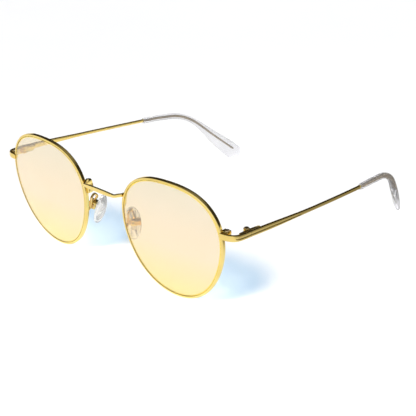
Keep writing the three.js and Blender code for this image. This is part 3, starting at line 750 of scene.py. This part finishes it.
addPair("endpiece", buildEndpiece, "part", polishedGold, "polished_gold", "front", castsShadow=False)
addPair("temple", buildTemple, "hinge", polishedGold, "polished_gold", "temple_arm",
        tailFinish=coreMetal, tailFrom=tailStart + 0.05, castsShadow=False)
addPair("temple_tip", buildTempleTip, "hinge", clearAcetate, "clear_acetate", "temple_arm", sharpAngle=50,
        castsShadow=False)
print("endpieces, temples and tips made")


# hinges, round their own axis

leafShape = {"thickness": 1.05, "top": 1.1, "fall": 0.3, "foot": 1.7, "frontLength": 4.4,
             "templeLength": 6.4, "edge": 0.14, "bite": 0.04, "barrelEdge": 0.1,
             "headRadius": 0.95, "headHeight": 0.4, "shankRadius": 0.55, "slotTurn": 0.6}


def barrel(bm, low, high):
    radius = hingeShape["barrelRadius"]
    edge = leafShape["barrelEdge"]
    turnedBody(bm, [(radius - edge, low), (radius - edge * 0.3, low + edge * 0.3), (radius, low + edge),
                    (radius, high - edge), (radius - edge * 0.3, high - edge * 0.3),
                    (radius - edge, high)])


def buildFrontHinge(bm):
    face = hingeShape["barrelRadius"]
    middle = hingeShape["middleBarrel"] / 2 + hingeShape["fit"]
    chamferedBox(bm, (face - leafShape["thickness"], -leafShape["frontLength"], -leafShape["foot"]),
                 (face + leafShape["bite"], -face * 0.9, leafShape["top"]), leafShape["edge"], 3)
    for low, high in ((-stackTop, -middle), (middle, stackTop)):
        barrel(bm, low, high)
        chamferedBox(bm, (face - leafShape["thickness"], -face, max(low, -leafShape["foot"]) + 0.05),
                     (face, 0, min(high, leafShape["top"] + 0.2) - 0.05), 0.05, 1)


def buildTempleHinge(bm):
    face = hingeShape["barrelRadius"]
    middle = hingeShape["middleBarrel"] / 2
    inner = face - leafShape["thickness"]
    reach = leafShape["templeLength"]
    start = face * 1.1
    prism(bm, [(inner, start, -leafShape["foot"]), (inner, reach - leafShape["foot"], -leafShape["foot"]),
               (inner, reach, -middle * 0.5), (inner, reach, leafShape["top"] - leafShape["fall"]),
               (inner, start, leafShape["top"])],
          (leafShape["thickness"] + leafShape["bite"], 0, 0), leafShape["edge"])
    barrel(bm, -middle, middle)
    chamferedBox(bm, (inner, 0, -middle + 0.05), (face, start + 0.3, middle - 0.05), 0.05, 1)


def buildHingeScrew(bm):
    place = (Matrix.Translation((0, 0, stackTop + hingeShape["fit"] / 2))
             @ Matrix.Rotation(leafShape["slotTurn"], 4, "Z"))
    slottedHead(bm, leafShape["headRadius"], leafShape["headHeight"], leafShape["shankRadius"],
                stackTop * 2, place)


addPair("front_hinge", buildFrontHinge, "hinge", polishedGold, "polished_gold", "front", castsShadow=False)
addPair("temple_hinge", buildTempleHinge, "hinge", polishedGold, "polished_gold", "temple_arm",
        castsShadow=False)
addPair("hinge_screw", buildHingeScrew, "hinge", screwGold, "screw_metal", "front", castsShadow=False)
print("hinges made")


# bridge, in the front's frame

bridgeShape = {"angle": 155.6, "inset": 2.64, "forward": 1.6, "bow": 0.5, "arch": 0.5, "corner": 0.9,
               "legSpread": 1.9, "legReach": 2.2, "stripHeight": 1.8, "legHeight": 1.35, "thickness": 0.9,
               "lugThickness": 1.0, "lugHeight": 5.4, "lugDepth": 2.7, "lugSetback": 0.9, "lugDrop": 2.5,
               "lugStretch": 1.05, "lugSteps": 28}


def lugRings(mirror):
    # a tab with round rear corners that hugs the wire's outside
    shape = bridgeShape
    anglePerHeight = math.degrees(shape["lugStretch"] / rimReach(math.radians(shape["angle"])))
    middleAngle = shape["angle"] + shape["lugDrop"] * anglePerHeight
    rings = []
    for step in range(shape["lugSteps"] + 1):
        along = (step / shape["lugSteps"] - 0.5) * 2
        angle = middleAngle - along * shape["lugHeight"] / 2 * anglePerHeight
        corner = math.sqrt(max(1 - max(abs(along) - 0.55, 0) ** 2 / 0.45**2, 0))
        depth = shape["lugDepth"] * (0.55 + 0.45 * corner)
        low = -halfDepth + shape["lugSetback"]
        outline = barOutline(shape["lugThickness"] * (0.75 + 0.25 * corner), depth, 0.2, 3)
        ring = []
        for a, b in outline:
            point = lensPlace @ wirePoint(angle, -0.03 - shape["lugThickness"] / 2 - a, low + depth / 2 + b)
            ring.append(Vector((-point.x if mirror else point.x, point.y, point.z)))
        rings.append(ring)
    return rings


def buildBridge(bm):
    shape = bridgeShape
    end = lensPlace @ wirePoint(shape["angle"])
    leg = end.x - shape["inset"]
    face = -shape["forward"]
    bend = shape["corner"]
    z = end.z
    half = [(leg + shape["legSpread"], shape["legReach"], z),
            (leg + shape["legSpread"] * 0.7, shape["legReach"] * 0.4, z),
            (leg + shape["legSpread"] * 0.2, face + bend * 1.4, z),
            (leg - bend * 0.3, face + bend * 0.3, z), (leg - bend * 1.6, face, z + 0.1),
            (leg / 2, face - shape["bow"] * 0.75, z + shape["arch"] * 0.7)]
    otherHalf = [(-x, y, height) for x, y, height in reversed(half)]
    path = smoothPath(half + [(0, face - shape["bow"], z + shape["arch"])] + otherHalf, 200)

    def stripAt(share, point):
        slim = smoothStep(abs(share - 0.5), 0.15, 0.32)
        height = shape["stripHeight"] + (shape["legHeight"] - shape["stripHeight"]) * slim
        return barOutline(shape["thickness"], height, 0.27, 4)

    loft(bm, sweepRings(path, stripAt, upwards))
    for mirror in (False, True):
        loft(bm, lugRings(mirror))


addPiece("bridge_fine", buildBridge, "front", polishedGold, "polished_gold", "front", "bridge")
print("bridge made")


# nose pads, their arms and boxes

armShape = {"radius": 0.5, "rise": 5.0}
padShape = {"boxWidth": 3.7, "boxHeight": 2.9, "boxBase": 0.6, "boxEdge": 0.14, "cheek": 0.95,
            "inside": 1.5, "eyeRadius": 1.0, "eyeFit": 0.14, "standoff": 0.8, "drop": 1.0,
            "length": 13.0, "width": 6.8, "crown": 1.7, "back": 1.0,
            "rimInset": 0.25, "dishInset": 0.3, "dish": 0.12,
            "plateLength": 5.4, "plateBreadth": 2.6, "plateThickness": 0.5,
            "shankRadius": 0.45, "headRadius": 0.75, "headHeight": 0.35}
slotFloor = padShape["eyeRadius"] + padShape["inside"] * 0.35
plateFace = -padShape["eyeRadius"] - padShape["standoff"]


def buildPadArm(bm):
    foot, seat, rise = armFoot, padSeat, armShape["rise"]
    path = smoothPath([
        (foot.x, foot.y, foot.z), (foot.x - 0.05, foot.y + 0.8, foot.z + 0.7),
        (foot.x - 0.3, foot.y + 1.15, seat.z + rise * 0.4),
        (foot.x - 0.4, foot.y + 1.5, seat.z + rise * 0.8),
        (foot.x - 0.4, (foot.y + seat.y) / 2 + 1, seat.z + rise),
        (seat.x - 1.5, seat.y + 0.1, seat.z + rise * 0.82),
        (seat.x - 0.8, seat.y + 0.1, seat.z + rise * 0.55),
        (seat.x + 0.1, seat.y - 0.2, seat.z + padShape["boxHeight"] / 2),
        (seat.x + 0.45, seat.y - 0.3, seat.z + padShape["boxHeight"] / 2 - 0.25)], 110)
    wire = roundOutline(armShape["radius"] * 2, armShape["radius"] * 2, 20)

    def wireAt(share, point):
        # a small collar of braze at the foot
        flare = 1 + 0.35 * max(1 - share / 0.035, 0) ** 2
        return [corner * flare for corner in wire]

    loft(bm, sweepRings(path, wireAt, acrossFace))


def buildPadBox(bm):
    y, z = padShape["boxWidth"] / 2, padShape["boxHeight"] / 2
    inner = y - padShape["cheek"]
    back = slotFloor + padShape["boxBase"]
    front = -padShape["eyeRadius"]
    outline = [(front, -y), (back, -y), (back, y), (front, y), (front, inner), (slotFloor, inner),
               (slotFloor, -inner), (front, -inner)]
    prism(bm, [(a, b, -z) for a, b in outline], (0, 0, z * 2), padShape["boxEdge"])


def buildPadScrew(bm):
    place = (Matrix.Translation((0, -padShape["boxWidth"] / 2 - 0.04, 0))
             @ Matrix.Rotation(math.pi / 2, 4, "X"))
    slottedHead(bm, padShape["headRadius"], padShape["headHeight"], padShape["shankRadius"],
                padShape["boxWidth"], place)


def plateRing(share, x):
    return [Vector((x, a * share, b * share - padShape["drop"]))
            for a, b in roundOutline(padShape["plateBreadth"], padShape["plateLength"], 40, 2.2)]


def buildPadCore(bm):
    thick = padShape["plateThickness"]
    back = plateFace - thick
    loft(bm, [plateRing(0.93, back), plateRing(0.99, back + 0.08), plateRing(1, back + 0.16),
              plateRing(1, plateFace - 0.16), plateRing(0.99, plateFace - 0.08),
              plateRing(0.93, plateFace)])
    half = padShape["boxWidth"] / 2 - padShape["cheek"] - padShape["eyeFit"]
    turn = Matrix.Rotation(math.pi / 2, 4, "X")
    radius = padShape["eyeRadius"]
    turnedBody(bm, [(radius - 0.1, -half), (radius, -half + 0.1), (radius, half - 0.1),
                    (radius - 0.1, half)], 40, turn)
    chamferedBox(bm, (plateFace - thick / 2, -half, -radius * 0.8), (0, half, radius * 0.8), 0.12)


def buildNosePad(bm):
    # a soft oval cushion, flat and slightly dished behind
    made = bmesh.ops.create_uvsphere(bm, u_segments=64, v_segments=40, radius=1)["verts"]
    bmesh.ops.scale(bm, vec=(padShape["crown"] + padShape["plateThickness"], padShape["width"] / 2,
                             padShape["length"] / 2), verts=made)
    bmesh.ops.translate(bm, vec=(plateFace - padShape["back"], 0, -padShape["drop"]), verts=made)
    cut = bmesh.ops.bisect_plane(bm, geom=bm.verts[:] + bm.edges[:] + bm.faces[:],
                                 plane_co=(plateFace, 0, 0), plane_no=(1, 0, 0), clear_outer=True)
    rimEdges = [item for item in cut["geom_cut"] if isinstance(item, bmesh.types.BMEdge)]
    face = bmesh.ops.contextual_create(bm, geom=rimEdges)["faces"]
    bmesh.ops.inset_region(bm, faces=face, thickness=padShape["rimInset"], depth=0.0)
    bmesh.ops.inset_region(bm, faces=face, thickness=padShape["dishInset"], depth=-padShape["dish"])


addPair("pad_arm", buildPadArm, "part", wireGold, "gold_wire", "front")
addPair("pad_box", buildPadBox, "pad", polishedGold, "polished_gold", "front")
addPair("pad_screw", buildPadScrew, "pad", screwGold, "screw_metal", "front")
addPair("pad_core", buildPadCore, "pad", insertSteel, "pad_insert", "pad")
addPair("nose_pad", buildNosePad, "pad", clearSilicone, "clear_silicone", "pad", sharpAngle=40)
print("nose pads made")


# floor, light and camera

# the floor values also hold a painted reflection shade, darker towards one side and seen only by glossy
# rays, and the strength of a white glow painted on the floor for rays through glass
floorValues = {"size": 6.0, "tone": (0.90, 0.905, 0.91), "deepTone": (0.885, 0.89, 0.90), "driftScale": 3,
               "leastRoughness": 0.55, "mostRoughness": 0.65, "markScale": 60, "bump": 0.02,
               "specular": 0.1, "glowThroughGlass": 1.0, "paintedShadeTurn": 40, "paintedShadeStart": 0.02, "paintedShadeEnd": 0.12,
               "paintedShadeDepth": 0.75, "paintedShadeTone": (0.06, 0.05, 0.035)}
floorMesh = bpy.data.meshes.new("paleFloor")
floorBm = bmesh.new()
bmesh.ops.create_grid(floorBm, x_segments=2, y_segments=2, size=floorValues["size"] / 2)
floorBm.to_mesh(floorMesh)
floorBm.free()
floorPiece = bpy.data.objects.new("paleFloor", floorMesh)
bpy.context.scene.collection.objects.link(floorPiece)
floorFinish, floorTree, floorShader, floorOutput = newFinish("paleFloor")
floorDrift = addDrift(floorTree, floorValues["tone"], floorValues["deepTone"], floorValues["driftScale"])
floorTree.links.new(floorDrift.outputs["Color"], floorShader.inputs["Base Color"])
addMarks(floorTree, floorShader, floorValues)
floorShader.inputs["Specular IOR Level"].default_value = floorValues["specular"]


def shadeSeenFloor(tree, shader, output):
    # painted reflection: for glossy rays only, the floor is painted darker towards one side, standing in
    # for a dark flag, so polished metal mirrors a dark side that is not there
    link = tree.links.new
    rays = tree.nodes.new("ShaderNodeLightPath")
    where = tree.nodes.new("ShaderNodeTexCoord")
    turn = addNode(tree, "ShaderNodeMapping")
    turn.inputs["Rotation"].default_value = (0, 0, math.radians(-floorValues["paintedShadeTurn"]))
    parts = tree.nodes.new("ShaderNodeSeparateXYZ")
    fall = addNode(tree, "ShaderNodeMapRange", interpolation_type="SMOOTHSTEP")
    fall.inputs["From Min"].default_value = floorValues["paintedShadeStart"]
    fall.inputs["From Max"].default_value = floorValues["paintedShadeEnd"]
    fall.inputs["To Max"].default_value = floorValues["paintedShadeDepth"]
    both = addNode(tree, "ShaderNodeMath", operation="MULTIPLY")
    # painted reflection: the dark tone that polished metal sees on the floor
    dark = addNode(tree, "ShaderNodeBsdfDiffuse", Color=(*floorValues["paintedShadeTone"], 1))
    mix = tree.nodes.new("ShaderNodeMixShader")
    link(where.outputs["Object"], turn.inputs["Vector"])
    link(turn.outputs["Vector"], parts.inputs["Vector"])
    link(parts.outputs["X"], fall.inputs["Value"])
    link(fall.outputs["Result"], both.inputs[0])
    link(rays.outputs["Is Glossy Ray"], both.inputs[1])
    link(both.outputs["Value"], mix.inputs["Fac"])
    link(shader.outputs["BSDF"], mix.inputs[1])
    link(dark.outputs["BSDF"], mix.inputs[2])
    # painted glow: seen through lenses and clear pieces, the floor glows an even white and shows no shadow
    paintedGlow = addNode(tree, "ShaderNodeEmission", Color=(1, 1, 1, 1), Strength=floorValues["glowThroughGlass"])
    through = tree.nodes.new("ShaderNodeMixShader")
    link(rays.outputs["Is Transmission Ray"], through.inputs["Fac"])
    link(mix.outputs["Shader"], through.inputs[1])
    link(paintedGlow.outputs["Emission"], through.inputs[2])
    link(through.outputs["Shader"], output.inputs["Surface"])


shadeSeenFloor(floorTree, floorShader, floorOutput)
floorMesh.materials.append(floorFinish)

skyValues = {"horizon": 1.3, "dark": 0.03, "overhead": 0.2, "warm": (1.0, 0.93, 0.86),
             "horizonEnd": 0.04, "darkStart": 0.16, "darkEnd": 0.72, "overheadStart": 0.92}


def makeSky():
    # bright at the horizon, dim overhead and darkest between, as between two studio panels
    world = bpy.data.worlds.new("studioSky")
    bpy.context.scene.world = world
    world.use_nodes = True
    tree = world.node_tree
    tree.nodes.clear()
    link = tree.links.new
    where = tree.nodes.new("ShaderNodeTexCoord")
    parts = tree.nodes.new("ShaderNodeSeparateXYZ")
    ramp = tree.nodes.new("ShaderNodeValToRGB")
    stops = ramp.color_ramp.elements
    warm = skyValues["warm"]
    stops[0].position = skyValues["horizonEnd"]
    stops[0].color = (1, 1, 1, 1)
    stops[1].position = skyValues["overheadStart"]
    stops[1].color = (skyValues["overhead"],) * 3 + (1,)
    for key in ("darkStart", "darkEnd"):
        stops.new(skyValues[key]).color = (*[skyValues["dark"] * channel for channel in warm], 1)
    background = tree.nodes.new("ShaderNodeBackground")
    output = tree.nodes.new("ShaderNodeOutputWorld")
    background.inputs["Strength"].default_value = skyValues["horizon"]
    link(where.outputs["Generated"], parts.inputs["Vector"])
    link(parts.outputs["Z"], ramp.inputs["Fac"])
    link(ramp.outputs["Color"], background.inputs["Color"])
    link(background.outputs["Background"], output.inputs["Surface"])


sunValues = {"travel": (-0.1, 1.04, -1.0), "strength": 4.8, "softness": 13}


def addSun(name, values):
    light = bpy.data.lights.new(name, "SUN")
    light.energy = values["strength"]
    light.angle = math.radians(values["softness"])
    lamp = bpy.data.objects.new(name, light)
    lamp.rotation_mode = "QUATERNION"
    lamp.rotation_quaternion = Vector(values["travel"]).to_track_quat("-Z", "Y")
    # metal shows no bright spot of it
    lamp.visible_glossy = False
    bpy.context.scene.collection.objects.link(lamp)


cameraValues = {"azimuth": 41.344, "elevation": 22.84, "roll": 1.273, "distance": 0.419351, "lens": 77.46,
                "target": (-0.013472, 0.076231, 0.00015)}


def addCamera():
    azimuth, elevation, roll = (
        math.radians(cameraValues[key]) for key in ("azimuth", "elevation", "roll"))
    back = Vector((math.sin(azimuth) * math.cos(elevation), -math.cos(azimuth) * math.cos(elevation),
                   math.sin(elevation)))
    right = Vector((math.cos(azimuth), math.sin(azimuth), 0))
    up = back.cross(right)
    cameraX = right * math.cos(roll) + up * math.sin(roll)
    cameraY = up * math.cos(roll) - right * math.sin(roll)
    data = bpy.data.cameras.new("studioCamera")
    data.lens = cameraValues["lens"]
    data.sensor_width = 36
    data.clip_start, data.clip_end = 0.01, 20
    camera = bpy.data.objects.new("studioCamera", data)
    camera.rotation_mode = "QUATERNION"
    camera.rotation_quaternion = Matrix((cameraX, cameraY, back)).transposed().to_quaternion()
    target = Vector(cameraValues["target"]) + standsAt * 0.001
    camera.location = target + back * cameraValues["distance"]
    bpy.context.scene.collection.objects.link(camera)
    bpy.context.scene.camera = camera


makeSky()
addSun("keySun", sunValues)
addCamera()
bpy.context.scene.view_settings.view_transform = "Standard"
print("floor, light and camera made")
